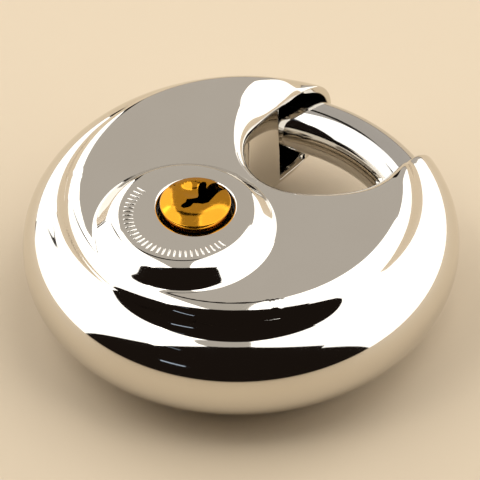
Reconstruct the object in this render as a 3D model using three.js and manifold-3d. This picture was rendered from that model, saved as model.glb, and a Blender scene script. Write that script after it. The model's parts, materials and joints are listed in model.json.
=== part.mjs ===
// A discus padlock: a round, two-shell stainless body with a curved shackle that turns inside the rim.
// Own frame, in millimetres: the lock lies on its back face, +Z comes out of the front face, +Y points
// to the shackle opening, and the origin is where the shackle's turning axis meets the back face.

import * as THREE from 'three';
import { mergeVertices } from 'three/addons/utils/BufferGeometryUtils.js';
import { ParametricGeometry } from 'three/addons/geometries/ParametricGeometry.js';
import Module from 'manifold-3d';

const wasm = await Module();
wasm.setup();

// ---------------------------------------------------------------- driving dimensions

const HALF_THICKNESS = 11.85;      // from the seam round the rim to a flat face
const SHEET = 1.2;                 // wall of the pressed shells
const SEAM_GAP = 0.1;              // each shell stops this far short of the seam plane

const RIM_RADIUS = 35;             // outside of the rim
const TUBE_CENTRE = 25.5;          // the rim's round section: centre radius, half width and half height
const TUBE_WIDTH = RIM_RADIUS - TUBE_CENTRE;
const TUBE_HEIGHT = 8.5;
const TUBE_FULLNESS = 2.15;        // exponent of the section, 2 is an ellipse

const FACE_RADIUS = 25.2;          // where the flat face starts to bend down to the rim
const FACE_BEND = 3;               // radius of that bend
const FACE_SLOPE = THREE.MathUtils.degToRad(63);
const VALLEY = 1.6;                // reach of the fillet between the face's slope and the rim

const THROAT_Y = 19.8;             // the throat is half an ellipse: centre, half width and depth
const THROAT_HALF_WIDTH = 12;
const THROAT_DEPTH = 14.8;
const THROAT_BEND = 2.3;           // bend at the bottom of the throat, and what it gains up the sides
const THROAT_BEND_GAIN = 2.6;
const HORN_WIDTH = 2;              // small rounding of the rim towards a mouth
const HORN_DEPTH = 0.6;
const TAIL_MOUTH_ANGLE = THREE.MathUtils.degToRad(22);   // outer end of the -X mouth, off +Y
const TAIL_MOUTH_LEAN = 0.087;     // how much its plane spreads outwards
const TIP_MOUTH_ANGLE = THREE.MathUtils.degToRad(17);    // the same of the +X mouth, whose horn is longer
const TIP_MOUTH_LEAN = -0.13;

const BOSS_Y = -11.9;              // raised round boss
const BOSS_RADIUS = 14.1;
const BOSS_TOP_RADIUS = 10.7;
const BOSS_HEIGHT = 2.9;
const BOSS_TOP = HALF_THICKNESS + BOSS_HEIGHT;

const SHACKLE_RADIUS = 28.9;       // centre line of the bar
const BAR_RADIUS = 4.5;
const SHACKLE_TIP = THREE.MathUtils.degToRad(58);
const SHACKLE_TAIL = THREE.MathUtils.degToRad(258);

const PLUG_Y = -9.5;               // axis of the key plug
const PLUG_RADIUS = 5.65;
const PLUG_FACE = BOSS_TOP + 1.5;
const PLUG_CHAMFER = 0.85;
const PLUG_END = -2.6;
const PLUG_HOLE = 6.15;
const RUNNING_GAP = 0.3;

const GEAR_MODULE = -PLUG_Y / 15;  // 10 teeth on the plug drive 20 on the carrier
const PINION_TEETH = 10;
const SECTOR_TEETH = 20;
const GEAR_TOP = -5;
const GEAR_BOTTOM = -6.3;
const FINGER_RADIUS = 26.2;        // where the carrier's finger enters the shackle
const FINGER_ANGLE = THREE.MathUtils.degToRad(165);

const PIN_COUNT = 5;
const PIN_PITCH = 2.6;
const PIN_TOP = 9.2;               // height of the pin nearest the face
const PIN_RADIUS = 0.85;
const SHEAR_LINE = PLUG_RADIUS - 0.05;

const PLATE_TOP = -9.1;            // floor plate that carries the lock housing
const PLATE_BOTTOM = -10.5;

// ---------------------------------------------------------------- solids

function solid(geometry) {
  const bare = geometry.index ? geometry.toNonIndexed() : geometry.clone();
  bare.deleteAttribute('normal');
  bare.deleteAttribute('uv');
  const merged = mergeVertices(bare, 1e-4);
  const kept = [];
  const index = merged.index.array;
  for (let i = 0; i < index.length; i += 3) {
    const [a, b, c] = [index[i], index[i + 1], index[i + 2]];
    if (a !== b && b !== c && c !== a) {
      kept.push(a, b, c);
    }
  }
  return new wasm.Manifold(new wasm.Mesh({
    numProp: 3,
    vertProperties: new Float32Array(merged.attributes.position.array),
    triVerts: new Uint32Array(kept),
  }));
}

function geometryOf(body) {
  const mesh = body.getMesh();
  const geometry = new THREE.BufferGeometry();
  geometry.setAttribute('position', new THREE.BufferAttribute(mesh.vertProperties, 3));
  geometry.setIndex(new THREE.BufferAttribute(mesh.triVerts, 1));
  return geometry;
}

// A body of revolution about Z from [radius, z] points that start and end on the axis.
function turned(points, x = 0, y = 0, sides = 28) {
  const profile = points.map(([radius, z]) => new THREE.Vector2(radius, z));
  const geometry = new THREE.LatheGeometry(profile, sides);
  geometry.rotateX(Math.PI / 2);
  geometry.translate(x, y, 0);
  return solid(geometry);
}

function rod(radius, bottom, top, x = 0, y = 0, sides = 20) {
  return turned([[0, bottom], [radius, bottom], [radius, top], [0, top]], x, y, sides);
}

function ring(inner, outer, bottom, top, x = 0, y = 0) {
  return rod(outer, bottom, top, x, y).subtract(rod(inner, bottom - 1, top + 1, x, y));
}

function slab(shape, bottom, top) {
  const geometry = new THREE.ExtrudeGeometry(shape, {
    depth: top - bottom,
    bevelEnabled: false,
    curveSegments: 24,
  });
  geometry.translate(0, 0, bottom);
  return solid(geometry);
}

function block(x0, x1, y0, y1, z0, z1) {
  const geometry = new THREE.BoxGeometry(x1 - x0, y1 - y0, z1 - z0);
  geometry.translate((x0 + x1) / 2, (y0 + y1) / 2, (z0 + z1) / 2);
  return solid(geometry);
}

// A rod along Y at a given height, from y0 up to y1.
function crossRod(radius, y0, y1, z) {
  const geometry = new THREE.CylinderGeometry(radius, radius, y1 - y0, 12);
  geometry.translate(0, (y0 + y1) / 2, z);
  return solid(geometry);
}

// ---------------------------------------------------------------- the shells

// How far a surface has fallen at a distance t past the start of a bend that ends in a straight slope.
function fall(t, bend, slope) {
  const bendEnd = bend * Math.sin(slope);
  if (t <= 0) {
    return 0;
  }
  if (t < bendEnd) {
    return bend - Math.sqrt(bend * bend - t * t);
  }
  return bend * (1 - Math.cos(slope)) + (t - bendEnd) * Math.tan(slope);
}

// How far a quarter-round bend of the given width and depth has fallen at a distance t from its wall.
function roundOff(t, width, depth) {
  const left = THREE.MathUtils.clamp(1 - t / width, 0, 1);
  return depth * (1 - Math.sqrt(1 - left * left));
}

function throatPoint(angle) {
  return new THREE.Vector2(
    THROAT_HALF_WIDTH * Math.sin(angle),
    THROAT_Y - THROAT_DEPTH * Math.cos(angle),
  );
}

// Distance from a point of the face to the throat's wall, or above it to the nearer mouth's plane.
function throatDistance(x, y) {
  const across = Math.abs(x);
  if (y >= THROAT_Y) {
    const lean = x < 0 ? TAIL_MOUTH_LEAN : TIP_MOUTH_LEAN;
    return Math.max(across - THROAT_HALF_WIDTH - lean * (y - THROAT_Y), 0);
  }
  const down = THROAT_Y - y;
  let angle = Math.atan2(across / THROAT_HALF_WIDTH, down / THROAT_DEPTH);
  for (let i = 0; i < 6; i += 1) {
    const dx = THROAT_HALF_WIDTH * Math.sin(angle) - across;
    const dy = THROAT_DEPTH * Math.cos(angle) - down;
    const tx = THROAT_HALF_WIDTH * Math.cos(angle);
    const ty = -THROAT_DEPTH * Math.sin(angle);
    angle -= (dx * tx + dy * ty) / (tx * tx + ty * ty);
    angle = THREE.MathUtils.clamp(angle, 0, Math.PI / 2);
  }
  const nearest = throatPoint(angle);
  return Math.hypot(nearest.x - across, nearest.y - y);
}

// Height of the shell's outside above the seam: the larger of the round rim and the raised flat face,
// with a fillet between them.
function shellHeight(x, y) {
  const radius = Math.hypot(x, y);
  const throat = throatDistance(x, y);
  const outward = THREE.MathUtils.clamp((radius - TUBE_CENTRE) / TUBE_WIDTH, 0, 1);
  const rimFall = TUBE_HEIGHT * (1 - Math.pow(1 - Math.pow(outward, TUBE_FULLNESS), 1 / TUBE_FULLNESS));
  const hornFall = roundOff(throat, HORN_WIDTH, HORN_DEPTH);
  const tube = TUBE_HEIGHT - Math.hypot(rimFall, hornFall);

  const upTheSide = THREE.MathUtils.smoothstep(y, 6, 18);
  const bend = THROAT_BEND + THROAT_BEND_GAIN * upTheSide;
  const edgeFall = fall(radius - FACE_RADIUS, FACE_BEND, FACE_SLOPE);
  const throatFall = roundOff(throat, bend, bend);
  const face = HALF_THICKNESS - Math.hypot(edgeFall, throatFall);

  const overlap = Math.max(VALLEY - Math.abs(face - tube), 0) / VALLEY;
  return Math.max(face, tube) + overlap * overlap * VALLEY / 4;
}

// Stations across the shell: the throat's seam, shares of the throat's bend, and distances in from the rim.
const BEND_SHARES = [0, 0.1, 0.4, 1];
const BEND_REACH = 4.2;
const RIM_STATIONS = [10.3, 9.2, 8.4, 6.6, 5.4, 3.8, 2.1, 0.9, 0.2, 0];
const STATIONS = 1 + BEND_SHARES.length + RIM_STATIONS.length;
const STEPS_ROUND = 45;

// Outside of the front shell at a share u of the way round and at one station across.
function outside(u, station) {
  const inner = throatPoint((u - 0.5) * Math.PI);
  if (station === 0) {
    return new THREE.Vector3(inner.x, inner.y, SEAM_GAP);
  }
  const sweep = 2 * Math.PI - TAIL_MOUTH_ANGLE - TIP_MOUTH_ANGLE;
  const turn = Math.PI / 2 + TAIL_MOUTH_ANGLE + u * sweep;
  const outer = new THREE.Vector2(Math.cos(turn), Math.sin(turn)).multiplyScalar(RIM_RADIUS);
  const along = outer.clone().sub(inner).normalize();
  const across = inner.dot(along);
  const rest = across * across - inner.lengthSq();
  const onCircle = (radius) => Math.sqrt(rest + radius * radius) - across;
  const room = onCircle(RIM_RADIUS - RIM_STATIONS[0]);
  const reach = station <= BEND_SHARES.length
    ? BEND_SHARES[station - 1] * Math.min(BEND_REACH, room * 0.8)
    : onCircle(RIM_RADIUS - RIM_STATIONS[station - 1 - BEND_SHARES.length]);
  const point = inner.clone().addScaledVector(along, reach);
  return new THREE.Vector3(point.x, point.y, Math.max(shellHeight(point.x, point.y), SEAM_GAP));
}

function makeShell() {
  const grid = [];
  for (let i = 0; i <= STEPS_ROUND; i += 1) {
    grid.push(Array.from({ length: STATIONS }, (_, j) => outside(i / STEPS_ROUND, j)));
  }
  const inside = grid.map((row, i) => row.map((point, j) => {
    const before = grid[Math.max(i - 1, 0)][j];
    const after = grid[Math.min(i + 1, STEPS_ROUND)][j];
    const below = row[Math.max(j - 1, 0)];
    const above = row[Math.min(j + 1, STATIONS - 1)];
    const normal = after.clone().sub(before).cross(above.clone().sub(below));
    if (j === 0 || j === STATIONS - 1) {
      normal.z = 0;
    }
    normal.normalize().multiplyScalar(-SHEET);
    const moved = point.clone().sub(normal);
    moved.z = Math.max(moved.z, SEAM_GAP);
    return moved;
  }));
  const around = 2 * STATIONS;
  const ends = STEPS_ROUND + 2;
  const surface = (share, turn, target) => {
    const i = Math.round(turn * ends);
    const k = Math.round(share * around) % around;
    const row = THREE.MathUtils.clamp(i - 1, 0, STEPS_ROUND);
    const j = k < STATIONS ? k : around - 1 - k;
    if (i === 0 || i === ends) {
      target.lerpVectors(grid[row][j], inside[row][j], 0.5);
    } else {
      target.copy(k < STATIONS ? grid[row][j] : inside[row][j]);
    }
  };
  return solid(new ParametricGeometry(surface, around, ends));
}

function makeFrontShell() {
  const seat = HALF_THICKNESS - SHEET;
  const boss = turned([
    [0, seat], [BOSS_RADIUS, seat], [BOSS_RADIUS, HALF_THICKNESS],
    [BOSS_TOP_RADIUS, BOSS_TOP], [0, BOSS_TOP],
  ], 0, BOSS_Y, 48);
  const run = BOSS_RADIUS - BOSS_TOP_RADIUS;
  const sideways = SHEET * Math.hypot(run, BOSS_HEIGHT) / BOSS_HEIGHT;
  const under = (height) => BOSS_TOP_RADIUS + (BOSS_TOP - height) * run / BOSS_HEIGHT - sideways;
  const hollow = turned([
    [0, seat - 1], [under(11.3), seat - 1], [under(11.3), 11.3],
    [under(BOSS_TOP - SHEET), BOSS_TOP - SHEET], [0, BOSS_TOP - SHEET],
  ], 0, BOSS_Y, 48);
  const hole = rod(PLUG_HOLE, seat, BOSS_TOP + 1, 0, PLUG_Y, 32);
  return makeShell().add(boss).subtract(hollow).subtract(hole);
}

function makeBackShell() {
  return makeShell().mirror([0, 0, 1]);
}

// ---------------------------------------------------------------- shackle and its drive

class Arc extends THREE.Curve {
  constructor(radius, from, to) {
    super();
    this.radius = radius;
    this.from = from;
    this.to = to;
  }

  getPoint(t, target = new THREE.Vector3()) {
    const angle = this.from + (this.to - this.from) * t;
    return target.set(this.radius * Math.cos(angle), this.radius * Math.sin(angle), 0);
  }
}

function finger(radius, bottom, top) {
  return rod(radius, bottom, top,
    FINGER_RADIUS * Math.cos(FINGER_ANGLE), FINGER_RADIUS * Math.sin(FINGER_ANGLE), 16);
}

function makeShackle() {
  const section = new THREE.Shape();
  section.absarc(0, 0, BAR_RADIUS, 0, 2 * Math.PI);
  const bar = solid(new THREE.ExtrudeGeometry(section, {
    steps: 32,
    curveSegments: 7,
    extrudePath: new Arc(SHACKLE_RADIUS, SHACKLE_TIP, SHACKLE_TAIL),
  }));
  return bar.subtract(finger(1.4, -BAR_RADIUS - 1, -1.3));
}

// Straight-sided teeth round a blank, from one angle to another.
function gearShape(teeth, from, to, count) {
  const pitch = GEAR_MODULE * teeth / 2;
  const tip = pitch + 0.8 * GEAR_MODULE;
  const root = pitch - 1.1 * GEAR_MODULE;
  const step = (to - from) / count;
  const half = Math.PI / teeth;
  const shape = new THREE.Shape();
  const put = (radius, angle) => {
    shape.lineTo(radius * Math.cos(angle), radius * Math.sin(angle));
  };
  shape.moveTo(root * Math.cos(from - half), root * Math.sin(from - half));
  for (let i = 0; i <= count; i += 1) {
    const middle = from + i * step;
    put(root, middle - 0.58 * half);
    put(tip, middle - 0.2 * half);
    put(tip, middle + 0.2 * half);
    put(root, middle + 0.58 * half);
  }
  return { shape, put, root, half };
}

function makePinion() {
  const first = Math.PI / 2 + Math.PI / PINION_TEETH;    // a tooth gap faces the sector
  const last = first + 2 * Math.PI * (PINION_TEETH - 1) / PINION_TEETH;
  const { shape } = gearShape(PINION_TEETH, first, last, PINION_TEETH - 1);
  const teeth = slab(shape, GEAR_BOTTOM, GEAR_TOP).translate([0, PLUG_Y, 0]);
  return teeth.subtract(rod(1.75, GEAR_BOTTOM - 1, GEAR_TOP + 1, 0, PLUG_Y));
}

function makeCarrier() {
  const step = 2 * Math.PI / SECTOR_TEETH;
  const first = 1.5 * Math.PI - 4 * step;                // one tooth points at the pinion at rest
  const { shape, put, root, half } = gearShape(SECTOR_TEETH, first, first + 5 * step, 5);
  put(root, first + 5 * step + half);
  shape.lineTo(0, 0);
  const sector = slab(shape, GEAR_BOTTOM, GEAR_TOP);
  const hub = rod(3.3, GEAR_BOTTOM, -4.4);
  const arm = block(0, FINGER_RADIUS, -1.9, 1.9, GEAR_BOTTOM, GEAR_TOP);
  const tip = rod(1.9, GEAR_BOTTOM, GEAR_TOP, FINGER_RADIUS, 0, 20);
  const turnedArm = arm.add(tip).rotate([0, 0, THREE.MathUtils.radToDeg(FINGER_ANGLE)]);
  return sector.add(hub).add(turnedArm).subtract(rod(1.8, GEAR_BOTTOM - 1, 0));
}

// ---------------------------------------------------------------- the key plug

// Ward-cut keyway, as x and distance from the plug's axis, open at the throat side of the plug.
function keywayShape() {
  const shape = new THREE.Shape();
  const outline = [
    [-0.7, 6.4], [-0.9, 3.9], [-0.5, 3.1], [-1.7, 3.8], [-2.3, 3.6], [-2.1, 2.7], [-1.2, 1.7],
    [-0.3, 1.0], [-0.1, 0.5], [-1.1, -0.8], [-0.7, -1.4], [-0.7, -2.4], [0, -2.6], [0.6, -1.7],
    [0.4, -0.7], [1.5, 0.2], [1.9, 1.2], [1.4, 3.2], [1.3, 6.4],
  ];
  shape.setFromPoints(outline.map(([x, y]) => new THREE.Vector2(x, y)));
  return shape;
}

function pinHeight(index) {
  return PIN_TOP - index * PIN_PITCH;
}

function makePlug() {
  let plug = turned([
    [0, GEAR_BOTTOM], [1.5, GEAR_BOTTOM], [1.5, GEAR_TOP + 0.2], [2.5, GEAR_TOP + 0.2],
    [2.5, PLUG_END], [PLUG_RADIUS, PLUG_END], [PLUG_RADIUS, PLUG_FACE - PLUG_CHAMFER],
    [PLUG_RADIUS - PLUG_CHAMFER, PLUG_FACE], [0, PLUG_FACE],
  ], 0, PLUG_Y, 32);
  plug = plug.subtract(slab(keywayShape(), PLUG_END + 1, PLUG_FACE + 1).translate([0, PLUG_Y, 0]));
  for (let i = 0; i < PIN_COUNT; i += 1) {
    plug = plug.subtract(crossRod(PIN_RADIUS + RUNNING_GAP, PLUG_Y - 7, PLUG_Y - 0.6, pinHeight(i)));
  }
  return plug.subtract(rod(0.95, GEAR_BOTTOM - 1, -4.4, 0, PLUG_Y, 12));
}

// ---------------------------------------------------------------- housing and inner parts

const BIBLE_END = -23.3;           // outer end of the block that holds the pin stacks
const HOUSING_TOP = 11.5;
const HOUSING_BOTTOM = -3;
const LUG_X = 9.6;
const POST_Y = -20.4;

function screwPlaces() {
  return [[0, POST_Y], [LUG_X, PLUG_Y]];
}

function makeHousing() {
  const bible = block(-3.2, 3.2, BIBLE_END, PLUG_Y, HOUSING_BOTTOM, 10.3);
  const post = block(-2.9, 2.9, BIBLE_END + 0.3, -17.4, PLATE_TOP, HOUSING_BOTTOM + 0.5);
  const lug = block(6, 12.4, PLUG_Y - 3, PLUG_Y + 3, PLATE_TOP, 8);
  let housing = rod(7.6, HOUSING_BOTTOM, HOUSING_TOP, 0, PLUG_Y, 32).add(bible).add(post).add(lug);
  const bore = PLUG_RADIUS + RUNNING_GAP;
  housing = housing.subtract(rod(bore, HOUSING_BOTTOM - 1, HOUSING_TOP + 1, 0, PLUG_Y, 32));
  for (let i = 0; i < PIN_COUNT; i += 1) {
    const pinBore = crossRod(PIN_RADIUS + RUNNING_GAP, BIBLE_END - 1, PLUG_Y - 5, pinHeight(i));
    housing = housing.subtract(pinBore);
  }
  for (const [x, y] of screwPlaces()) {
    housing = housing.subtract(rod(1.3, PLATE_TOP - 1, -4.6, x, y, 16));
  }
  return housing;
}

function makeFloorPlate() {
  const cut = new THREE.Shape();
  cut.absellipse(0, THROAT_Y, THROAT_HALF_WIDTH + 4.2, THROAT_DEPTH + 2.7, 0, 2 * Math.PI);
  const cutaway = slab(cut, PLATE_BOTTOM - 1, PLATE_TOP + 1);
  let plate = rod(24, PLATE_BOTTOM, PLATE_TOP, 0, 0, 44).subtract(cutaway);
  for (const [x, y] of screwPlaces()) {
    plate = plate.subtract(rod(1.3, PLATE_BOTTOM - 1, PLATE_TOP + 1, x, y, 16));
    plate = plate.subtract(rod(2.3, PLATE_BOTTOM - 1, PLATE_TOP - 0.5, x, y, 16));
  }
  return plate;
}

function makeHousingScrew([x, y]) {
  return turned([
    [0, PLATE_BOTTOM], [2, PLATE_BOTTOM], [2, PLATE_TOP - 0.8], [1, PLATE_TOP - 0.8], [1, -5], [0, -5],
  ], x, y, 16);
}

function makeStud() {
  return turned([[0, PLATE_TOP], [1.5, PLATE_TOP], [1.5, -3.1], [0, -3.1]], 0, 0, 20);
}

function makeSpacer() {
  return ring(1.8, 3.2, PLATE_TOP, GEAR_BOTTOM - 0.3);
}

function makeStudClip() {
  return ring(1.7, 2.8, -4.1, -3.4);
}

function makeSpring(height) {
  const from = BIBLE_END + 0.15;
  const to = PLUG_Y - 9.45;
  const coil = new THREE.Curve();
  coil.getPoint = (t, target = new THREE.Vector3()) => {
    const turn = t * 4.5 * 2 * Math.PI;
    const y = from + 0.2 + t * (to - from - 0.4);
    return target.set(0.75 * Math.cos(turn), y, height + 0.75 * Math.sin(turn));
  };
  const wire = new THREE.Shape();
  wire.absarc(0, 0, 0.17, 0, 2 * Math.PI);
  return solid(new THREE.ExtrudeGeometry(wire, { steps: 27, curveSegments: 2, extrudePath: coil }));
}

// ---------------------------------------------------------------- assembly

function metal(color, roughness) {
  return new THREE.MeshStandardMaterial({ color, roughness, metalness: 1 });
}

const lock = new THREE.Group();
lock.position.z = HALF_THICKNESS;

function piece(name, body, color, roughness) {
  const mesh = new THREE.Mesh(geometryOf(body), metal(color, roughness));
  mesh.name = name;
  lock.add(mesh);
}

piece('front_shell', makeFrontShell(), 0xb9b2a8, 0.08);
piece('back_shell', makeBackShell(), 0xb9b2a8, 0.08);
piece('shackle', makeShackle(), 0xc9c6c0, 0.12);
piece('shackle_carrier', makeCarrier(), 0x9a9a98, 0.4);
piece('drive_finger', finger(1.1, GEAR_TOP, -1.8), 0x8f8f8d, 0.35);
piece('pivot_stud', makeStud(), 0x8f8f8d, 0.35);
piece('pivot_spacer', makeSpacer(), 0xb08d57, 0.4);
piece('pivot_clip', makeStudClip(), 0x55585a, 0.45);
piece('floor_plate', makeFloorPlate(), 0x9a9a98, 0.45);
piece('lock_housing', makeHousing(), 0xb59a5c, 0.45);
screwPlaces().forEach((place, i) => {
  piece(`housing_screw_${i + 1}`, makeHousingScrew(place), 0x7d7f80, 0.4);
});
piece('drill_guard', ring(6.1, 8, HOUSING_TOP, 13.1, 0, PLUG_Y), 0x6c7073, 0.4);
piece('key_plug', makePlug(), 0xd19a2a, 0.25);
piece('plug_clip', ring(2.8, 4.6, -4, -3.3, 0, PLUG_Y), 0x55585a, 0.45);
piece('drive_pinion', makePinion(), 0x9a9a98, 0.4);
piece('pinion_screw', rod(2.4, -7.9, GEAR_BOTTOM - 0.3, 0, PLUG_Y, 16)
  .add(rod(0.7, -7, -4.6, 0, PLUG_Y, 16)), 0x7d7f80, 0.4);
for (let i = 0; i < PIN_COUNT; i += 1) {
  const height = pinHeight(i);
  piece(`key_pin_${i + 1}`, crossRod(PIN_RADIUS, PLUG_Y - SHEAR_LINE, PLUG_Y - 2.2, height), 0xc9a24a, 0.3);
  piece(`driver_pin_${i + 1}`, crossRod(PIN_RADIUS, PLUG_Y - 9.3, PLUG_Y - 6, height), 0xa9abac, 0.3);
  piece(`driver_spring_${i + 1}`, makeSpring(height), 0x8f9294, 0.35);
}
piece('spring_cover', block(-2.6, 2.6, BIBLE_END - 0.6, BIBLE_END, pinHeight(4) - 1.4, pinHeight(0) + 1),
  0xb59a5c, 0.45);

export default lock;
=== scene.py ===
"""Polished discus padlock: two pressed stainless shells, a curved shackle and a brass key plug.

Everything is worked out in millimetres round the shackle's turning axis, with heights measured from the
seam between the two shells, and put into the meshes in metres in the frame's own axes.
"""

import json
import math
from types import SimpleNamespace

import bmesh
import bpy
import numpy as np
from bpy.props import FloatProperty, FloatVectorProperty, IntProperty, PointerProperty, StringProperty
from mathutils import Matrix, Quaternion, Vector


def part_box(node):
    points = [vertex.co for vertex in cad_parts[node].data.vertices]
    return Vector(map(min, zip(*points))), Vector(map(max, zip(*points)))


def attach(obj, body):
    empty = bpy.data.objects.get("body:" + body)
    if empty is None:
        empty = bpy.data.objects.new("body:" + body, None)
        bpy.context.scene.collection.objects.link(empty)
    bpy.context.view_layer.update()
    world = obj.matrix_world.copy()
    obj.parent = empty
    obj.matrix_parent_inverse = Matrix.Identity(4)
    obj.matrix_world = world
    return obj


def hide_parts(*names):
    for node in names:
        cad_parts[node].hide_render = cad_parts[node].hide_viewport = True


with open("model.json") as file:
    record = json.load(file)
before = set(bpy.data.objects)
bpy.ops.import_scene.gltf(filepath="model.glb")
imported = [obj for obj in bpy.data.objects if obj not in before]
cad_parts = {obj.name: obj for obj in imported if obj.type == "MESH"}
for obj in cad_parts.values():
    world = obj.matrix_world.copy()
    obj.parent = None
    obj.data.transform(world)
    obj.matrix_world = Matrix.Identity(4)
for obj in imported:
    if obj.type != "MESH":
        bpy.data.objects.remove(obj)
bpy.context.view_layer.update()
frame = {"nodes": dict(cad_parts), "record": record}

bl_info = {
    "name": "Discus Padlock",
    "version": (1, 0, 0),
    "blender": (4, 5, 0),
    "location": "View3D > Sidebar > Padlock",
    "description": "Builds the shells, shackle and key plug of a discus padlock round its frame",
    "category": "Add Mesh",
}

MM = 0.001
SHELL_LOW, SHELL_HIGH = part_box("back_shell")
RIM_RADIUS = (SHELL_HIGH.x - SHELL_LOW.x) / 2 / MM
PLUG_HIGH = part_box("key_plug")[1]
SHACKLE_LOW, SHACKLE_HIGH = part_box("shackle")
SEAM_HEIGHT = (SHACKLE_LOW.z + SHACKLE_HIGH.z) / 2 / MM
BAR_RADIUS = (SHACKLE_HIGH.z - SHACKLE_LOW.z) / 2 / MM
# Takes a mesh from millimetres above the seam to metres in the frame.
IN_PLACE = Matrix.Translation((0, 0, SEAM_HEIGHT * MM)) @ Matrix.Scale(MM, 4)


# ------------------------------------------------------------------ settings

class ShellSettings(bpy.types.PropertyGroup):
    """Sizes of the pressed shells."""
    rim_radius: FloatProperty(
        name="Rim radius", description="Outside radius of the round rim",
        default=RIM_RADIUS * MM, min=0.03, max=0.045, unit="LENGTH")
    half_thickness: FloatProperty(
        name="Half thickness", description="From the seam to a flat face",
        default=SEAM_HEIGHT * MM, min=0.008, max=0.016, unit="LENGTH")
    sheet: FloatProperty(
        name="Sheet", description="Thickness of the pressed sheet",
        default=0.0012, min=0.0005, max=0.002, unit="LENGTH")
    boss_height: FloatProperty(
        name="Boss height", description="How far the round boss stands above the face",
        default=0.0029, min=0.001, max=0.005, unit="LENGTH")
    edge_round: FloatProperty(
        name="Edge round", description="Rounding of the sheet's cut edges",
        default=0.00022, min=0.00005, max=0.0005, unit="LENGTH")
    steps_round: IntProperty(
        name="Steps round", description="Steps of the grid from mouth to mouth", default=300, min=60, max=400)


class ShackleSettings(bpy.types.PropertyGroup):
    """Sizes of the curved shackle."""
    bar_radius: FloatProperty(
        name="Bar radius", description="Radius of the round bar",
        default=BAR_RADIUS * MM, min=0.003, max=0.006, unit="LENGTH")
    bend_radius: FloatProperty(
        name="Bend radius", description="Radius of the bar's centre line",
        default=0.0289, min=0.02, max=0.04, unit="LENGTH")
    tip_angle: FloatProperty(
        name="Tip angle", description="Where the locking end stands",
        default=math.radians(58), subtype="ANGLE")
    tail_angle: FloatProperty(
        name="Tail angle", description="Where the hidden end stands",
        default=math.radians(258), subtype="ANGLE")


class PlugSettings(bpy.types.PropertyGroup):
    """Sizes of the key plug."""
    radius: FloatProperty(
        name="Plug radius", description="Radius of the brass plug",
        default=0.00565, min=0.004, max=0.008, unit="LENGTH")
    chamfer: FloatProperty(
        name="Chamfer", description="Width of the bright chamfer round the face",
        default=0.00105, min=0.0002, max=0.002, unit="LENGTH")


class StageSettings(bpy.types.PropertyGroup):
    """The floor, the lights and the camera."""
    azimuth: FloatProperty(
        name="Camera azimuth", description="Camera angle round the lock", default=math.radians(47.7),
        subtype="ANGLE")
    elevation: FloatProperty(
        name="Camera elevation", description="Camera angle above the floor", default=math.radians(44.66),
        subtype="ANGLE")
    roll: FloatProperty(
        name="Camera roll", description="Tilt of the horizon", default=math.radians(-1.675), subtype="ANGLE")
    distance: FloatProperty(
        name="Camera distance", description="From the lens to the lock", default=1.4135, unit="LENGTH")
    width: FloatProperty(
        name="View width", description="Width seen at the lock", default=0.07678, unit="LENGTH")
    floor_hex: StringProperty(
        name="Floor colour", description="sRGB hex colour of the floor", default="#C4B297")
    softbox_brightness: FloatProperty(
        name="Softbox brightness", description="Brightness of the white tent round the lock",
        default=1.9, min=0)


def in_millimetres(settings):
    """The settings as plain values, their lengths turned from metres to millimetres."""
    values = {}
    for name in settings.__annotations__:
        value = getattr(settings, name)
        values[name] = value / MM if settings.bl_rna.properties[name].unit == "LENGTH" else value
    return SimpleNamespace(**values)


# ------------------------------------------------------------------ shape of the shells, in millimetres

FACE_RADIUS = 25.2             # where the flat face starts to bend down
FACE_BEND = 3.0
FACE_SLOPE = math.radians(63)
TUBE_CENTRE = 25.5             # the rim's round section: centre, height and exponent (2 is an ellipse)
TUBE_HEIGHT = 8.5
TUBE_FULLNESS = 2.15
VALLEY = 1.6                   # fillet between the face's slope and the rim
THROAT_Y = 19.8                # the throat is half an ellipse
THROAT_HALF_WIDTH = 12
THROAT_DEPTH = 14.8
THROAT_BEND = 2.3              # bend at the bottom of the throat, and what it gains up the sides
THROAT_BEND_GAIN = 2.6
HORN_WIDTH = 2                 # small rounding of the rim towards a mouth
HORN_DEPTH = 0.6
TAIL_MOUTH_ANGLE = math.radians(22)    # outer end of the -X mouth, off +Y
TAIL_MOUTH_LEAN = 0.087                # how much its plane spreads outwards
TIP_MOUTH_ANGLE = math.radians(17)     # the same of the +X mouth, whose horn is longer
TIP_MOUTH_LEAN = -0.13
BOSS_Y = -11.9
BOSS_TOP_RADIUS = 10.1
BOSS_BEND = 3.3
BOSS_SLOPE = math.radians(44.5)
BOSS_FOOT = 0.35               # fillet at the boss's foot
BOSS_SKIRT = 15.1              # circle just outside the foot
BOSS_CORE = 9.9                # circle from which the rings ease to the plug's hole
TICKS = 31                     # plain arc of raised ticks on the boss
TICKS_FROM = math.radians(187)
TICKS_SWEEP = math.radians(171)
TICK_PLACE = 8.95              # distance of their middles from the boss's axis
TICK_SIZE = (0.2, 0.16, 0.85)  # half width, half height and half length
PLUG_Y = -9.5
PLUG_HOLE = 6.0
LIP_WIDTH = 0.4                # rolled lip of the plug's hole
LIP_DEPTH = 0.3

# Where the grid of a shell changes its spacing, and the window in it that the boss's rings fill.
SLOPE_START = 24.9
SLOPE_END = 29.5
BEND_REACH = 4.3
WINDOW_ROWS = (0.335, 0.665)
WINDOW_Y = (3.6, -28.0)


def smoothstep(x, low, high):
    """Cubic ease from 0 at low to 1 at high."""
    t = np.clip((x - low) / (high - low), 0, 1)
    return t * t * (3 - 2 * t)


def soft_max(a, b, reach):
    """The larger of a and b, with a fillet where they are closer than reach."""
    overlap = np.maximum(reach - np.abs(a - b), 0) / reach
    return np.maximum(a, b) + overlap ** 2 * reach / 4


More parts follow.
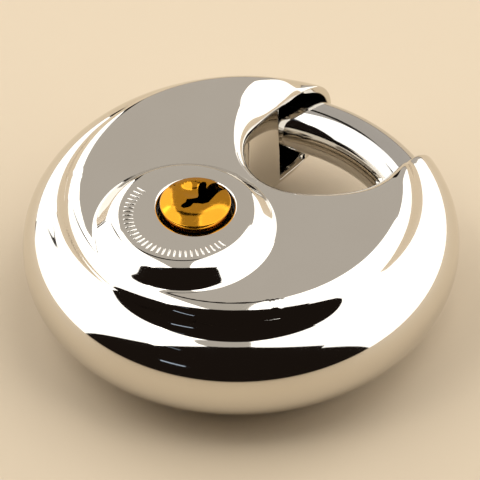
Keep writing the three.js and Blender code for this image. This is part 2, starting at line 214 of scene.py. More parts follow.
def fall(t, bend, slope):
    """How far a surface has fallen at t past the start of an arc of radius bend that runs into a slope."""
    bend_end = bend * math.sin(slope)
    inside = np.clip(t, 0, bend_end)
    arc = bend - np.sqrt(bend * bend - inside * inside)
    return arc + np.maximum(t - bend_end, 0) * math.tan(slope)


def round_off(t, width, depth):
    """How far a quarter-elliptic bend of that width and depth has fallen at t from its wall."""
    left = np.clip(1 - t / width, 0, 1)
    return depth * (1 - np.sqrt(1 - left * left))


def throat_point(angle):
    """Point of the half ellipse at an angle from its deepest point."""
    x = THROAT_HALF_WIDTH * np.sin(angle)
    y = THROAT_Y - THROAT_DEPTH * np.cos(angle)
    return x, y


def throat_distance(x, y):
    """Distance to the throat's wall, by Newton steps along the half ellipse, or to a mouth's plane."""
    across = np.abs(x)
    down = np.maximum(THROAT_Y - y, 0)
    angle = np.arctan2(across / THROAT_HALF_WIDTH, down / THROAT_DEPTH)
    for _ in range(8):
        dx = THROAT_HALF_WIDTH * np.sin(angle) - across
        dy = THROAT_DEPTH * np.cos(angle) - down
        tx = THROAT_HALF_WIDTH * np.cos(angle)
        ty = -THROAT_DEPTH * np.sin(angle)
        angle = np.clip(angle - (dx * tx + dy * ty) / (tx * tx + ty * ty), 0, math.pi / 2)
    nx, ny = throat_point(angle)
    below = np.hypot(nx - across, ny - y)
    lean = np.where(x < 0, TAIL_MOUTH_LEAN, TIP_MOUTH_LEAN)
    above = np.maximum(across - THROAT_HALF_WIDTH - lean * (y - THROAT_Y), 0)
    return np.where(y >= THROAT_Y, above, below)


def shell_height(x, y, half_thickness, rim_radius):
    """Height above the seam: the larger of the round rim and the raised flat face, with a fillet between.

    The rim is a superellipse across the ring, a little rounded at the mouths. The face falls by an arc and a
    slope past its outer radius, and by a quarter-round at the throat and the mouths.
    """
    radius = np.hypot(x, y)
    throat = throat_distance(x, y)
    outward = np.clip((radius - TUBE_CENTRE) / (rim_radius - TUBE_CENTRE), 0, 1)
    rim_fall = TUBE_HEIGHT * (1 - (1 - outward ** TUBE_FULLNESS) ** (1 / TUBE_FULLNESS))
    horn_fall = round_off(throat, HORN_WIDTH, HORN_DEPTH)
    tube = TUBE_HEIGHT - np.hypot(rim_fall, horn_fall)
    bend = THROAT_BEND + THROAT_BEND_GAIN * smoothstep(y, 6, 18)
    edge_fall = fall(radius - FACE_RADIUS, FACE_BEND, FACE_SLOPE)
    throat_fall = round_off(throat, bend, bend)
    face = half_thickness - np.hypot(edge_fall, throat_fall)
    return soft_max(face, tube, VALLEY)


def boss_height(x, y, height):
    """Height of the boss above the face: a flat top, an arc, a straight slope and a fillet at its foot."""
    radius = np.hypot(x, y - BOSS_Y)
    return soft_max(height - fall(radius - BOSS_TOP_RADIUS, BOSS_BEND, BOSS_SLOPE), 0, BOSS_FOOT)


def grid_faces(rows, columns):
    """Corner numbers of the quads of a grid, rows by columns of points."""
    i = np.arange(rows - 1)[:, None]
    j = np.arange(columns - 1)[None, :]
    corners = i * columns + j
    return np.stack([corners, corners + columns, corners + columns + 1, corners + 1], axis=-1).reshape(-1, 4)


def ring_faces(rings):
    """Corner numbers of the quads between rows of points, each row a closed ring."""
    turned = np.roll(rings, -1, axis=1)
    return np.stack([rings[:-1], turned[:-1], turned[1:], rings[1:]], axis=-1).reshape(-1, 4)


def shell_strip(settings):
    """Outside of a shell as a grid, rows from mouth to mouth and columns from the throat's seam to the rim's.

    Each row is a straight line in plan from the throat's curve to the rim's circle. Along it the stations go
    up the throat's wall, round its bend, over the face and down the rim, closest together where it is round.
    """
    thick, rim = settings.half_thickness, settings.rim_radius
    share = np.linspace(0, 1, settings.steps_round + 1)[:, None]
    inner = np.stack(throat_point((share - 0.5) * math.pi), axis=-1)
    sweep = 2 * math.pi - TAIL_MOUTH_ANGLE - TIP_MOUTH_ANGLE
    turn = math.pi / 2 + TAIL_MOUTH_ANGLE + share * sweep
    outer = rim * np.stack([np.cos(turn), np.sin(turn)], axis=-1)
    length = np.linalg.norm(outer - inner, axis=-1, keepdims=True)
    along = (outer - inner) / length
    across = (inner * along).sum(-1, keepdims=True)[..., 0]
    inner_square = (inner ** 2).sum(-1)

    def reach_of(radius):
        return -across + np.sqrt(np.maximum(across ** 2 - inner_square + radius ** 2, 0))

    room = reach_of(np.array([[SLOPE_START]]))
    bend = (1 - np.cos(np.linspace(0, math.pi / 2, 19))) * np.minimum(BEND_REACH, room * 0.8)
    face = bend[:, -1:] + (room - bend[:, -1:]) * np.linspace(0, 1, 24)[1:-1]
    slope = reach_of(np.linspace(SLOPE_START, SLOPE_END, 22)[None, :])
    start = math.asin((SLOPE_END - TUBE_CENTRE) / (rim - TUBE_CENTRE))
    bulge = TUBE_CENTRE + (rim - TUBE_CENTRE) * np.sin(np.linspace(start, math.pi / 2, 36)[1:])
    reach = np.hstack([bend, face, slope, reach_of(bulge[None, :])])
    plan = inner + along * reach[..., None]
    height = shell_height(plan[..., 0], plan[..., 1], thick, rim)
    height[:, -1] = 0
    wall = np.linspace(0, 1, 9)[None, :-1] * height[:, :1]
    wall_plan = np.broadcast_to(inner, (len(share), wall.shape[1], 2))
    return np.concatenate([np.dstack([wall_plan, wall]), np.dstack([plan, height])], axis=1)


def boss_rings(rim_points, settings):
    """Rings from a closed loop of shell points in to the edge of the plug's hole.

    The first rings ease from the loop to a circle just outside the boss, the next follow the boss's own
    circles, and the last ease to the plug's hole. Heights come from the shell and the boss together.
    """
    centre = np.array([0, BOSS_Y])
    offset = rim_points[:, :2] - centre
    direction = np.arctan2(offset[:, 1], offset[:, 0])
    unit = np.stack([np.cos(direction), np.sin(direction)], axis=-1)
    skirt = centre + BOSS_SKIRT * unit
    ease = np.linspace(0, 1, 11)[1:-1, None, None]
    first = rim_points[None, :, :2] * (1 - ease) + skirt * ease
    circles = centre + np.linspace(BOSS_SKIRT, BOSS_CORE, 27)[:, None, None] * unit
    hole = np.array([0, PLUG_Y]) + (PLUG_HOLE + settings.edge_round) * unit
    ease = 1 - np.linspace(1, 0, 15)[1:, None, None] ** 2
    last = circles[-1] * (1 - ease) + hole * ease
    plan = np.concatenate([first, circles, last])
    x, y = plan[..., 0], plan[..., 1]
    height = shell_height(x, y, settings.half_thickness, settings.rim_radius)
    lip = round_off(np.hypot(x, y - PLUG_Y) - PLUG_HOLE - settings.edge_round, LIP_WIDTH, LIP_DEPTH)
    height = height + boss_height(x, y, settings.boss_height) - lip
    return np.dstack([plan, height])


def vertex_normals(points, faces):
    """Area-weighted mean of the face normals round each point."""
    a, b, c, d = (points[faces[:, k]] for k in range(4))
    normal = np.cross(c - a, d - b)
    total = np.zeros_like(points)
    for k in range(4):
        np.add.at(total, faces[:, k], normal)
    return total / np.maximum(np.linalg.norm(total, axis=1, keepdims=True), 1e-12)


def boundary_edges(faces):
    """Directed edges that only one face uses, in that face's direction."""
    directed = np.concatenate([faces[:, [k, (k + 1) % 4]] for k in range(4)])
    directed = directed[directed[:, 0] != directed[:, 1]]
    key = np.sort(directed, axis=1)
    _, first, count = np.unique(key, axis=0, return_index=True, return_counts=True)
    return directed[first[count == 1]]


def thicken(points, faces, sheet, edge_round):
    """Gives a surface the sheet's thickness inwards, and rounds its cut edges except those on the seam.

    Inner points are the outer ones moved against the normal. Across each cut edge a section runs from the
    outer to the inner point: a quarter-round out, straight down, a quarter-round back.
    """
    normal = vertex_normals(points, faces)
    on_seam = points[:, 2] < 1e-6
    normal[on_seam, 2] = 0
    normal /= np.linalg.norm(normal, axis=1, keepdims=True)
    inner = points - normal * sheet
    inner[:, 2] = np.maximum(inner[:, 2], 0)
    edges = boundary_edges(faces)
    tangent = points[edges[:, 1]] - points[edges[:, 0]]
    outward = np.zeros_like(points)
    side = np.cross(tangent, normal[edges[:, 0]])
    np.add.at(outward, edges[:, 0], side)
    np.add.at(outward, edges[:, 1], side)
    length = np.linalg.norm(outward, axis=1, keepdims=True)
    outward = np.where(length > 0, outward / np.maximum(length, 1e-12), 0)
    outward[on_seam] = 0
    arc = np.linspace(0, math.pi / 2, 5)[1:]
    out = np.concatenate([np.sin(arc), np.sin(arc[::-1])]) * edge_round
    down = np.concatenate([(1 - np.cos(arc)) * edge_round, sheet - (1 - np.cos(arc[::-1])) * edge_round])
    loop = np.unique(edges)
    place = np.full(len(points), -1)
    place[loop] = np.arange(len(loop))
    shift = points[loop][None] + out[:, None, None] * outward[loop] - down[:, None, None] * normal[loop]
    shift[..., 2] = np.maximum(shift[..., 2], 0)
    count = len(points)
    base = 2 * count
    levels = [np.arange(count)[edges]]
    levels += [base + k * len(loop) + place[edges] for k in range(len(out))]
    levels += [count + edges]
    bands = [np.column_stack([a[:, 1], a[:, 0], b[:, 0], b[:, 1]]) for a, b in zip(levels, levels[1:])]
    all_points = np.concatenate([points, inner, shift.reshape(-1, 3)])
    all_faces = np.concatenate([faces, faces[:, ::-1] + count] + bands)
    return all_points, all_faces


def compact(points, faces):
    """Drops the points that no face uses."""
    used, numbers = np.unique(faces, return_inverse=True)
    return points[used], numbers.reshape(faces.shape)


def shell_surface(settings, with_boss):
    """Outside of a shell: the strip alone, or the strip with a window filled by the boss's rings."""
    grid = shell_strip(settings)
    rows, columns = grid.shape[:2]
    points = grid.reshape(-1, 3)
    faces = facing_up(points, grid_faces(rows, columns))
    if not with_boss:
        return points, faces
    low, high = (round(share * (rows - 1)) for share in WINDOW_ROWS)
    middle = grid[rows // 2]
    near, far = (int(np.argmax(middle[:, 1] < y)) for y in WINDOW_Y)
    i, j = np.divmod(faces[:, 0], columns)
    outside = (i < low) | (i >= high) | (j < near) | (j >= far)
    number = np.arange(rows * columns).reshape(rows, columns)
    loop = np.concatenate([
        number[low:high, near], number[high, near:far], number[high:low:-1, far], number[low, far:near:-1],
    ])
    rings = boss_rings(points[loop], settings)
    count = len(loop)
    new_numbers = len(points) + np.arange(rings.shape[0] * count).reshape(rings.shape[0], count)
    band = ring_faces(np.vstack([loop, new_numbers]))
    points = np.concatenate([points, rings.reshape(-1, 3)])
    return compact(points, np.concatenate([faces[outside], facing_up(points, band)]))


def facing_up(points, faces):
    """The faces, turned over if on the whole they look down."""
    a, b, c, d = (points[faces[:, k]] for k in range(4))
    return faces if np.cross(c - a, d - b)[:, 2].sum() > 0 else faces[:, ::-1]


# ------------------------------------------------------------------ meshes

def add_piece(name, points, faces, body, material, replaced, sharp_seam=False):
    """Makes a smooth-shaded object from points in millimetres above the seam, and ties it to the frame."""
    mesh = bpy.data.meshes.new(name)
    placed = (points + np.array([0, 0, SEAM_HEIGHT])) * MM
    faces = np.asarray(faces, dtype=np.int32)
    mesh.vertices.add(len(placed))
    mesh.vertices.foreach_set("co", placed.astype(np.float32).ravel())
    mesh.loops.add(faces.size)
    mesh.loops.foreach_set("vertex_index", faces.ravel())
    mesh.polygons.add(len(faces))
    mesh.polygons.foreach_set("loop_start", np.arange(0, faces.size, faces.shape[1], dtype=np.int32))
    mesh.polygons.foreach_set("use_smooth", np.ones(len(faces), dtype=bool))
    mesh.update(calc_edges=True)
    mesh.validate()
    ends = np.empty(len(mesh.edges) * 2, dtype=np.int32)
    mesh.edges.foreach_get("vertices", ends)
    on_seam = (np.abs(points[:, 2]) < 1e-6)[ends.reshape(-1, 2)].all(axis=1)
    mesh.attributes.new("sharp_edge", "BOOLEAN", "EDGE").data.foreach_set("value", on_seam & sharp_seam)
    mesh.materials.append(material)
    finish_piece(mesh, body, replaced)


def finish_piece(mesh, body, replaced):
    """Links a mesh as an object of its name, on its body and what it replaces."""
    piece = bpy.data.objects.new(mesh.name, mesh)
    bpy.context.collection.objects.link(piece)
    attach(piece, body)
    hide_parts(*replaced)


# ------------------------------------------------------------------ materials

def linear(hex_colour):
    """sRGB hex to linear RGBA."""
    values = [int(hex_colour[k:k + 2], 16) / 255 for k in (1, 3, 5)]
    return [v / 12.92 if v <= 0.04045 else ((v + 0.055) / 1.055) ** 2.4 for v in values] + [1.0]


CLOUD_SCALE = 90.0             # per metre: patches of tone about 11 mm across
FLOOR_CLOUD_SCALE = 12.0       # per metre: patches of sheen about 80 mm across
KEYWAY_PAINTED_SHADE = "#24150A"              # painted shade down the keyway, a dark brown where little light reaches
PAINTED_SHADE_DEPTH = (0.4, 0.8)       # in millimetres below the plug's face, where the painted shade starts and where it is full
PAINTED_SHADE_REACH = (5.2, 5.0)       # the same in millimetres from the plug's axis


def add_node(tree, kind, inputs=None, **settings):
    """Adds a node, sets its settings and fills its inputs with values or links."""
    node = tree.nodes.new(kind)
    for name, value in settings.items():
        setattr(node, name, value)
    for name, value in (inputs or {}).items():
        if isinstance(value, bpy.types.NodeSocket):
            tree.links.new(value, node.inputs[name])
        else:
            node.inputs[name].default_value = value
    return node


def keyway_painted_shade(tree, place):
    """Where shade is painted down the keyway: 1 down inside it, 0 on the plug's face and outside."""
    axis = (0, PLUG_Y * MM, 0)
    upper, lower = (PLUG_HIGH.z - depth * MM for depth in PAINTED_SHADE_DEPTH)
    outer, inner = (reach * MM for reach in PAINTED_SHADE_REACH)
    centred = add_node(tree, "ShaderNodeVectorMath", {0: place, 1: axis}, operation="SUBTRACT")
    flat = add_node(tree, "ShaderNodeVectorMath", {0: centred.outputs[0], 1: (1, 1, 0)}, operation="MULTIPLY")
    radius = add_node(tree, "ShaderNodeVectorMath", {0: flat.outputs[0]}, operation="LENGTH")
    height = add_node(tree, "ShaderNodeSeparateXYZ", {0: place})
    low = add_node(tree, "ShaderNodeMapRange", {
        "Value": height.outputs["Z"], "From Min": upper, "From Max": lower})
    near = add_node(tree, "ShaderNodeMapRange", {
        "Value": radius.outputs["Value"], "From Min": outer, "From Max": inner})
    return add_node(
        tree, "ShaderNodeMath", {0: low.outputs["Result"], 1: near.outputs["Result"]},
        operation="MULTIPLY").outputs[0]


def metal_material(name, colour, shade, roughness, rough_range, grain_mm, grain_depth, painted_shade=None):
    """A metal whose colour, roughness and relief vary by noise in object space.

    colour and shade are the hex colours it varies between, grain_mm is the spacing of its marks and
    grain_depth is the strength of their relief. The last argument, if given, is a function that gives where a
    dark brown is painted over the colour as shade, down a recess.
    """
    material = bpy.data.materials.new(name)
    material.use_nodes = True
    tree = material.node_tree
    tree.nodes.clear()
    place = add_node(tree, "ShaderNodeTexCoord").outputs["Object"]
    cloud = add_node(tree, "ShaderNodeTexNoise", {"Vector": place, "Scale": CLOUD_SCALE, "Detail": 4.0})
    mix = add_node(tree, "ShaderNodeMix", {"Factor": cloud.outputs["Fac"]}, data_type="RGBA")
    mix.inputs["A"].default_value = linear(colour)
    mix.inputs["B"].default_value = linear(shade)
    # Painted shade: a dark brown mixed over the colour where the mask is high.
    if painted_shade:
        mix = add_node(
            tree, "ShaderNodeMix", {"Factor": painted_shade(tree, place), "A": mix.outputs["Result"]},
            data_type="RGBA")
        mix.inputs["B"].default_value = linear(KEYWAY_PAINTED_SHADE)
    grain = add_node(tree, "ShaderNodeTexNoise", {
        "Vector": place, "Scale": 1 / (grain_mm * MM), "Detail": 6.0})
    rough = add_node(tree, "ShaderNodeMapRange", {
        "Value": grain.outputs["Fac"], "From Min": 0.3, "From Max": 0.7,
        "To Min": roughness - rough_range, "To Max": roughness + rough_range})
    bump = add_node(tree, "ShaderNodeBump", {
        "Height": grain.outputs["Fac"], "Strength": grain_depth, "Distance": 0.02 * MM})
    shader = add_node(tree, "ShaderNodeBsdfPrincipled", {
        "Base Color": mix.outputs["Result"], "Metallic": 1.0,
        "Roughness": rough.outputs["Result"], "Normal": bump.outputs["Normal"]})
    add_node(tree, "ShaderNodeOutputMaterial", {"Surface": shader.outputs["BSDF"]})
    return material


def floor_material(colour):
    """Matt painted board: a broad soft sheen with a very faint mottle."""
    material = bpy.data.materials.new("matt_painted_floor")
    material.use_nodes = True
    tree = material.node_tree
    tree.nodes.clear()
    place = add_node(tree, "ShaderNodeTexCoord").outputs["Object"]
    cloud = add_node(tree, "ShaderNodeTexNoise", {"Vector": place, "Scale": FLOOR_CLOUD_SCALE, "Detail": 3.0})
    rough = add_node(tree, "ShaderNodeMapRange", {
        "Value": cloud.outputs["Fac"], "To Min": 0.6, "To Max": 0.7})
    shader = add_node(tree, "ShaderNodeBsdfPrincipled", {
        "Base Color": linear(colour), "Roughness": rough.outputs["Result"]})
    add_node(tree, "ShaderNodeOutputMaterial", {"Surface": shader.outputs["BSDF"]})
    return material


# ------------------------------------------------------------------ operators

class PADLOCK_OT_shells(bpy.types.Operator):
    """Build the front and back shells"""
    bl_idname = "padlock.shells"
    bl_label = "Shells"

    def execute(self, context):
        settings = in_millimetres(context.scene.padlock_shell)
        # Mirror-polished stainless sheet: sharp reflections with the faintest haze and waviness.
        steel = metal_material("mirror_polished_stainless", "#DAD5CC", "#D5CFC5", 0.045, 0.015, 4.0, 0.02)
        points, faces = shell_surface(settings, True)
        points, faces = thicken(points, faces, settings.sheet, settings.edge_round)
        add_piece(
            "front_shell_pressed", points, faces, "lock_body", steel,
            ["front_shell"], sharp_seam=True)
        points, faces = shell_surface(settings, False)
        points, faces = thicken(points, faces, settings.sheet, settings.edge_round)
        points[:, 2] *= -1
        add_piece(
            "back_shell_pressed", points, faces[:, ::-1], "lock_body", steel,
            ["back_shell"], sharp_seam=True)
        marks = tick_marks(settings)
        marks.materials.append(steel)
        finish_piece(marks, "lock_body", [])
        return {"FINISHED"}


BAR_CHAMFER = 0.9              # at the bar's ends, in millimetres


class PADLOCK_OT_shackle(bpy.types.Operator):
    """Build the curved shackle"""
    bl_idname = "padlock.shackle"
    bl_label = "Shackle"

    def execute(self, context):
        s = in_millimetres(context.scene.padlock_shackle)
        # Polished round steel bar: a little greyer and hazier than the shells, with very fine drawn waviness.
        steel = metal_material("polished_steel_bar", "#D2CFCA", "#C6C2BC", 0.06, 0.02, 1.2, 0.04)
        points, faces = shackle_surface(s)
        add_piece("shackle_bar", points, faces, "shackle_body", steel, ["shackle"])
        return {"FINISHED"}


def shackle_surface(s):
    """Round bar along an arc, its ends closed by a chamfer and a flat: rings carried along the arc."""
    lengthways = np.linspace(s.tip_angle, s.tail_angle, 241)
    ease = BAR_CHAMFER / s.bend_radius
    turn = np.concatenate([
        [s.tip_angle] * 3, [s.tip_angle + ease], lengthways[3:-3], [s.tail_angle - ease], [s.tail_angle] * 3])
    size = np.ones(len(turn)) * s.bar_radius
    size[[0, -1]] = 0
    size[[1, -2]] = (s.bar_radius - BAR_CHAMFER) * 0.5
    size[[2, -3]] = s.bar_radius - BAR_CHAMFER
    around = np.linspace(0, 2 * math.pi, 73)[:-1]
    radius = s.bend_radius + size[:, None] * np.cos(around)
    height = size[:, None] * np.sin(around)
    points = np.dstack([radius * np.cos(turn)[:, None], radius * np.sin(turn)[:, None], height])
    faces = ring_faces(np.arange(points.shape[0] * points.shape[1]).reshape(points.shape[:2]))
    return points.reshape(-1, 3), faces[:, ::-1]


# The plug's head, in millimetres. It is made new above PLUG_SPLIT, which is a height above the seam.
PLUG_SPLIT = 9.7
CHAMFER_SLOPE = math.radians(22)
HEAD_ROUND = 0.2               # between the chamfer and the side
KEYWAY_BEVEL = 0.06
BEVEL_ANGLE = math.radians(40)
SHARP_ANGLE = math.radians(14)    # edges bent further than this are shaded as sharp
SCOOP_RADIUS = 6               # shallow scoop beside the keyway
SCOOP_DEPTH = 0.3
SCOOP_X, SCOOP_Y = -1.9, 1.3

# Keyway, as x and y from the plug's axis: open at the throat side, with a lobe and wards to a thin tail.
KEYWAY = (
    (-0.7, 6.4), (-0.9, 3.9), (-0.75, 3.25), (-0.5, 3.05), (-0.85, 3.2), (-1.3, 3.7), (-1.75, 3.95),
    (-2.15, 3.7), (-2.25, 3.1), (-1.9, 2.4), (-1.2, 1.7), (-0.5, 1.15), (-0.15, 0.6), (-0.6, -0.2),
    (-1.1, -0.8), (-0.75, -1.4), (-0.75, -2.2), (-0.6, -2.65), (0.05, -2.6), (0.45, -1.9), (0.55, -1.5),
    (0.35, -0.75), (0.9, -0.2), (1.5, 0.2), (1.9, 1.1), (1.6, 2.4), (1.35, 3.5), (1.3, 6.4),
)


def lathe(profile, sides, x, y):
    """Rings round an upright axis from (radius, height) pairs that start and end on it."""
    radius, height = np.array(profile).T
    around = np.linspace(0, 2 * math.pi, sides, endpoint=False)
    points = np.dstack([
        x + radius[:, None] * np.cos(around), y + radius[:, None] * np.sin(around),
        np.broadcast_to(height[:, None], (len(height), sides))])
    return points.reshape(-1, 3), ring_faces(np.arange(points.shape[0] * sides).reshape(-1, sides))


def tick_marks(settings):
    """Round-ended bars in a plain arc, each a pill along a radius of the boss, half sunk in its top."""
    turn = np.linspace(0, math.pi, 11)
    girth = np.maximum(np.sin(turn), 0) ** 0.6
    pill, faces = lathe(np.column_stack([girth, -np.cos(turn)]), 12, 0, 0)
    across, up, out = (pill * TICK_SIZE).T
    angle = TICKS_FROM + TICKS_SWEEP * np.linspace(0, 1, TICKS)[:, None]
    x = (TICK_PLACE + out) * np.cos(angle) - across * np.sin(angle)
    y = (TICK_PLACE + out) * np.sin(angle) + across * np.cos(angle) + BOSS_Y
    z = np.broadcast_to(up + settings.half_thickness + settings.boss_height, x.shape)
    shift = np.arange(TICKS)[:, None, None] * len(pill)
    piece = temporary(np.dstack([x, y, z]).reshape(-1, 3), (faces + shift).reshape(-1, 4))
    mesh = piece.data
    bpy.data.objects.remove(piece)
    mesh.name = "boss_tick_marks"
    mesh.transform(IN_PLACE)
    mesh.shade_smooth()
    return mesh


def prism(outline, bottom, top):
    """Upright prism of a closed outline given anticlockwise."""
    flat = np.array(outline)
    count = len(flat)
    points = np.vstack([
        np.column_stack([flat, np.full(count, bottom)]), np.column_stack([flat, np.full(count, top)])])
    i = np.arange(count)
    j = (i + 1) % count
    sides = np.column_stack([i, j, j + count, i + count]).tolist()
    return points, sides + [i[::-1].tolist(), (i + count).tolist()]


def temporary(points, faces):
    """A throwaway object, its doubles merged and its faces turned outwards, to cut with or to be cut."""
    mesh = bpy.data.meshes.new("cut")
    mesh.from_pydata(points, [], faces if isinstance(faces, list) else faces.tolist())
    body = bmesh.new()
    body.from_mesh(mesh)
    bmesh.ops.remove_doubles(body, verts=body.verts, dist=1e-5)
    bmesh.ops.recalc_face_normals(body, faces=body.faces)
    body.to_mesh(mesh)
    body.free()
    piece = bpy.data.objects.new("cut", mesh)
    bpy.context.collection.objects.link(piece)
    return piece


def cut(base, cutters, bevel):
    """The base less the cutters, its sharp edges bevelled, as a mesh. The throwaway objects are removed."""
    for cutter in cutters:
        step = base.modifiers.new("cut", "BOOLEAN")
        step.operation, step.solver, step.object = "DIFFERENCE", "EXACT", cutter
    step = base.modifiers.new("bevel", "BEVEL")
    step.width, step.segments, step.limit_method, step.angle_limit = bevel, 2, "ANGLE", BEVEL_ANGLE
    shaped = base.evaluated_get(bpy.context.evaluated_depsgraph_get())
    mesh = bpy.data.meshes.new_from_object(shaped)
    for piece in [base] + cutters:
        bpy.data.objects.remove(piece)
    if not mesh.polygons:
        raise RuntimeError("the cuts left nothing of the plug's head")
    return mesh


def plug_head(s):
    """Head of the plug: turned face with a shallow chamfer, the keyway and a scoop beside it cut out."""
    top = PLUG_HIGH.z / MM - SEAM_HEIGHT
    flat = s.radius - s.chamfer
    shoulder = top - s.chamfer * math.tan(CHAMFER_SLOPE)
    turn = np.linspace(math.pi / 2, 0, 12)
    rounding = np.column_stack([
        s.radius + HEAD_ROUND * (np.sin(turn) - 1), shoulder + HEAD_ROUND * (np.cos(turn) - 1)])
    profile = np.vstack([
        [(0, PLUG_SPLIT), (s.radius, PLUG_SPLIT)], rounding, [(flat, top), (flat * 0.5, top), (0, top)]])
    base = temporary(*lathe(profile, 128, 0, PLUG_Y))
    keyway = temporary(*prism(np.array(KEYWAY) + (0, PLUG_Y), PLUG_SPLIT - 1, top + 1))
    turn = np.linspace(-math.pi / 2, math.pi / 2, 40)
    ball = SCOOP_RADIUS * np.column_stack([np.cos(turn), 1 + np.sin(turn)]) + (0, top - SCOOP_DEPTH)
    scoop = temporary(*lathe(ball, 96, SCOOP_X, PLUG_Y + SCOOP_Y))
    return cut(base, [scoop, keyway], KEYWAY_BEVEL)


def plug_foot():
    """The frame's plug below the head, with its pin bores, closed at the cut."""
    body = bmesh.new()
    body.from_mesh(frame["nodes"]["key_plug"].data)
    bmesh.ops.remove_doubles(body, verts=body.verts, dist=1e-7)
    everything = body.verts[:] + body.edges[:] + body.faces[:]
    level = (SEAM_HEIGHT + PLUG_SPLIT - 0.01) * MM
    result = bmesh.ops.bisect_plane(
        body, geom=everything, plane_co=(0, 0, level), plane_no=(0, 0, 1), clear_outer=True)
    rim = [edge for edge in result["geom_cut"] if isinstance(edge, bmesh.types.BMEdge)]
    bmesh.ops.triangle_fill(body, edges=rim, use_beauty=True, normal=(0, 0, 1))
    return body


class PADLOCK_OT_plug(bpy.types.Operator):
    """Build the brass key plug"""
    bl_idname = "padlock.plug"
    bl_label = "Key plug"

    def execute(self, context):
        # Turned and buffed brass: deep gold, softly blurred reflections, with shade painted dark brown down
        # the keyway.
        brass = metal_material(
            "turned_buffed_brass", "#D2942A", "#BE7F1A", 0.1, 0.04, 0.5, 0.12, painted_shade=keyway_painted_shade)
        head = plug_head(in_millimetres(context.scene.padlock_plug))
        head.transform(IN_PLACE)
        body = plug_foot()
        body.from_mesh(head)
        mesh = bpy.data.meshes.new("key_plug_turned")
        body.to_mesh(mesh)
        body.free()
        mesh.shade_smooth()
        mesh.set_sharp_from_angle(angle=SHARP_ANGLE)
        mesh.materials.append(brass)
        finish_piece(mesh, "plug_body", ["key_plug"])
        return {"FINISHED"}


# Each row is a call of metal_material. Stamped, oiled steel is grey with a broad sheen and hardened steel is
# darker and duller. Machined brass is a pale yellow with scattered tool marks and turned pins are brighter.
# Drawn spring wire is a clean grey with tight highlights.
INNER_FINISHES = {
    "plain_steel": ("stamped_oiled_steel", "#A8A8A5", "#8E8E8C", 0.38, 0.08, 0.8, 0.3),
    "hard_steel": ("hardened_dark_steel", "#6E7276", "#565A5E", 0.42, 0.08, 0.6, 0.3),
    "housing_brass": ("machined_brass", "#C4A35E", "#A98848", 0.4, 0.1, 0.7, 0.3),
    "brass_pins": ("turned_brass_pins", "#D2AC5A", "#BC9443", 0.28, 0.06, 0.4, 0.2),
    "spring_wire": ("drawn_spring_wire", "#A9ACAE", "#8C8F92", 0.3, 0.06, 0.3, 0.2),
}


class PADLOCK_OT_inner_parts(bpy.types.Operator):
    """Give the inner parts their finishes"""
    bl_idname = "padlock.inner_parts"
    bl_label = "Inner parts"

    def execute(self, context):
        made = {slot: metal_material(*finish) for slot, finish in INNER_FINISHES.items()}
        for part in frame["record"]["subparts"]:
            if part["material_slot"] in made:
                node = frame["nodes"][part["node"]]
                node.data.materials.clear()
                node.data.materials.append(made[part["material_slot"]])
        return {"FINISHED"}


# Name, centre, facing, size, roll in degrees, colour and brightness of each softbox of the white tent, in
# metres to the camera's right, away from it and up. The tent stands open towards the camera, with a dim grey
# card at its far end, a dimmer strip along its roof and two narrow windows behind the camera's left shoulder.
SOFTBOXES = (
    ("tent_left_wall", (-0.6, 0.108, 0.56), (1, 0, 0), (0.8, 1.3), -17, "#FFFFFF", 1.0),
    ("tent_left_corner", (-0.435, 0.79, 0.52), (0.75, -0.66, 0), (0.52, 1.04), 0, "#FFFFFF", 1.0),
    ("tent_left_roof", (-0.43, 0.285, 0.9), (0, 0, -1), (0.46, 0.97), 0, "#FFFFFF", 1.0),
    ("tent_left_eave", (-0.505, -0.164, 0.905), (0, 0, -1), (0.546, 0.4), 28, "#FFFFFF", 1.0),
    ("tent_right_wall", (0.6, 0.33, 0.45), (-1, 0, 0), (1.6, 1.3), 17, "#FFFFFF", 1.0),
    ("tent_right_roof", (0.335, 0.285, 0.9), (0, 0, -1), (0.61, 0.97), 0, "#FFFFFF", 1.0),
    ("tent_right_eave", (0.45, -0.24, 0.905), (0, 0, -1), (0.72, 0.4), -32, "#FFFFFF", 1.0),
    ("tent_middle_roof", (-0.085, 0.155, 0.91), (0, 0, -1), (0.3, 0.72), 0, "#FFFAF2", 0.3),
    ("far_card", (0.125, 0.93, 0.49), (-0.06, -0.93, -0.49), (0.76, 1.05), 0, "#F6F0E8", 0.34),
    ("window_low", (-0.52, -0.75, 0.41), (0.52, 0.75, -0.41), (0.2, 0.04), 0, "#CFE4FF", 0.4),
    ("window_high", (-0.43, -0.36, 0.83), (0.43, 0.36, -0.83), (0.16, 0.03), 0, "#CFE4FF", 0.12),
)

FLOOR = 3.0                    # half the floor's side, in metres
SENSOR = 36                    # width of the camera's sensor, in millimetres
AIM = (-0.00014, 0.00051)      # where the camera aims, right and up on the screen, in metres


def lamp_turn(towards, upright, roll):
    """Turn that aims a lamp's -Z along towards, keeps its Y as near upright as it can, then rolls it."""
    back = -towards.normalized()
    side = upright.cross(back).normalized()
    turn = Matrix((side, back.cross(side), back)).transposed().to_quaternion()
    return turn @ Quaternion((0, 0, 1), math.radians(roll))


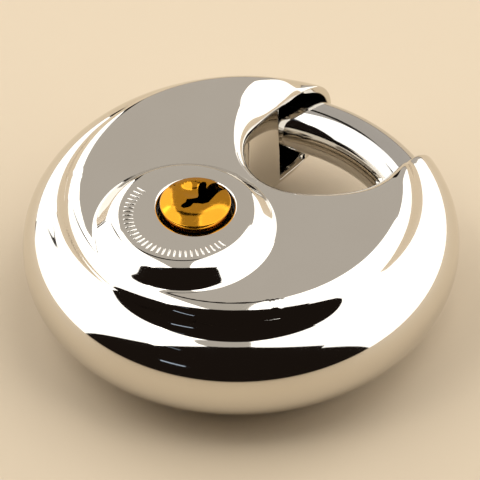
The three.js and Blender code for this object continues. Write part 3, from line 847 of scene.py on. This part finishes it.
class PADLOCK_OT_stage(bpy.types.Operator):
    """Set out the floor, the lights and the camera"""
    bl_idname = "padlock.stage"
    bl_label = "Stage"

    def execute(self, context):
        s = context.scene.padlock_stage
        away = Vector((-math.sin(s.azimuth), math.cos(s.azimuth), 0))
        right = Vector((math.cos(s.azimuth), math.sin(s.azimuth), 0))
        up = Vector((0, 0, 1))
        target = Vector((0, 0, SEAM_HEIGHT * MM))

        mesh = bpy.data.meshes.new("floor")
        corners = [(-FLOOR, -FLOOR, 0), (FLOOR, -FLOOR, 0), (FLOOR, FLOOR, 0), (-FLOOR, FLOOR, 0)]
        mesh.from_pydata(corners, [], [(0, 1, 2, 3)])
        mesh.materials.append(floor_material(s.floor_hex))
        floor = bpy.data.objects.new("floor", mesh)
        context.collection.objects.link(floor)

        for name, place, facing, size, roll, colour, brightness in SOFTBOXES:
            light = bpy.data.lights.new(name, "AREA")
            light.shape = "RECTANGLE"
            light.size, light.size_y = size
            light.energy = brightness * s.softbox_brightness * math.pi * size[0] * size[1]
            light.color = linear(colour)[:3]
            lamp = bpy.data.objects.new(name, light)
            lamp.location = target + right * place[0] + away * place[1] + up * place[2]
            lamp.rotation_mode = "QUATERNION"
            towards = right * facing[0] + away * facing[1] + up * facing[2]
            lamp.rotation_quaternion = lamp_turn(towards, away if abs(facing[2]) == 1 else up, roll)
            lamp.visible_camera = False
            context.collection.objects.link(lamp)

        world = bpy.data.worlds.new("studio")
        world.use_nodes = True
        background = world.node_tree.nodes["Background"]
        background.inputs["Color"].default_value = linear("#3A302A")
        background.inputs["Strength"].default_value = 0.3
        context.scene.world = world
        context.scene.view_settings.view_transform = "Standard"

        back = -away * math.cos(s.elevation) + up * math.sin(s.elevation)
        camera_data = bpy.data.cameras.new("camera")
        camera_data.sensor_width = SENSOR
        camera_data.lens = SENSOR * s.distance / s.width
        camera_data.clip_start, camera_data.clip_end = 0.01, 20
        camera = bpy.data.objects.new("camera", camera_data)
        screen_up = up * math.cos(s.elevation) + away * math.sin(s.elevation)
        aim = target + right * AIM[0] + screen_up * AIM[1]
        turn = (-back).to_track_quat("-Z", "Y").to_matrix().to_4x4() @ Matrix.Rotation(s.roll, 4, "Z")
        camera.matrix_world = Matrix.Translation(aim + back * s.distance) @ turn
        context.collection.objects.link(camera)
        context.scene.camera = camera
        return {"FINISHED"}


class PADLOCK_PT_panel(bpy.types.Panel):
    """Padlock pieces and settings"""
    bl_idname = "PADLOCK_PT_panel"
    bl_label = "Discus padlock"
    bl_space_type = "VIEW_3D"
    bl_region_type = "UI"
    bl_category = "Padlock"

    def draw(self, context):
        scene = context.scene
        for group in SETTINGS:
            box = self.layout.box()
            settings = getattr(scene, group)
            for name in settings.__annotations__:
                box.prop(settings, name)
        for operator in PIECES:
            self.layout.operator(operator.bl_idname)


SETTINGS = {
    "padlock_shell": ShellSettings,
    "padlock_shackle": ShackleSettings,
    "padlock_plug": PlugSettings,
    "padlock_stage": StageSettings,
}
PIECES = [PADLOCK_OT_shells, PADLOCK_OT_shackle, PADLOCK_OT_plug, PADLOCK_OT_inner_parts, PADLOCK_OT_stage]


def register():
    for group in SETTINGS.values():
        bpy.utils.register_class(group)
    for operator in PIECES:
        bpy.utils.register_class(operator)
    bpy.utils.register_class(PADLOCK_PT_panel)
    for name, group in SETTINGS.items():
        setattr(bpy.types.Scene, name, PointerProperty(type=group))


def unregister():
    for name in SETTINGS:
        delattr(bpy.types.Scene, name)
    for cls in [PADLOCK_PT_panel] + PIECES + list(SETTINGS.values()):
        bpy.utils.unregister_class(cls)


def main():
    register()
    bpy.ops.padlock.shells()
    bpy.ops.padlock.shackle()
    bpy.ops.padlock.plug()
    bpy.ops.padlock.inner_parts()
    bpy.ops.padlock.stage()


if __name__ == "__main__":
    main()
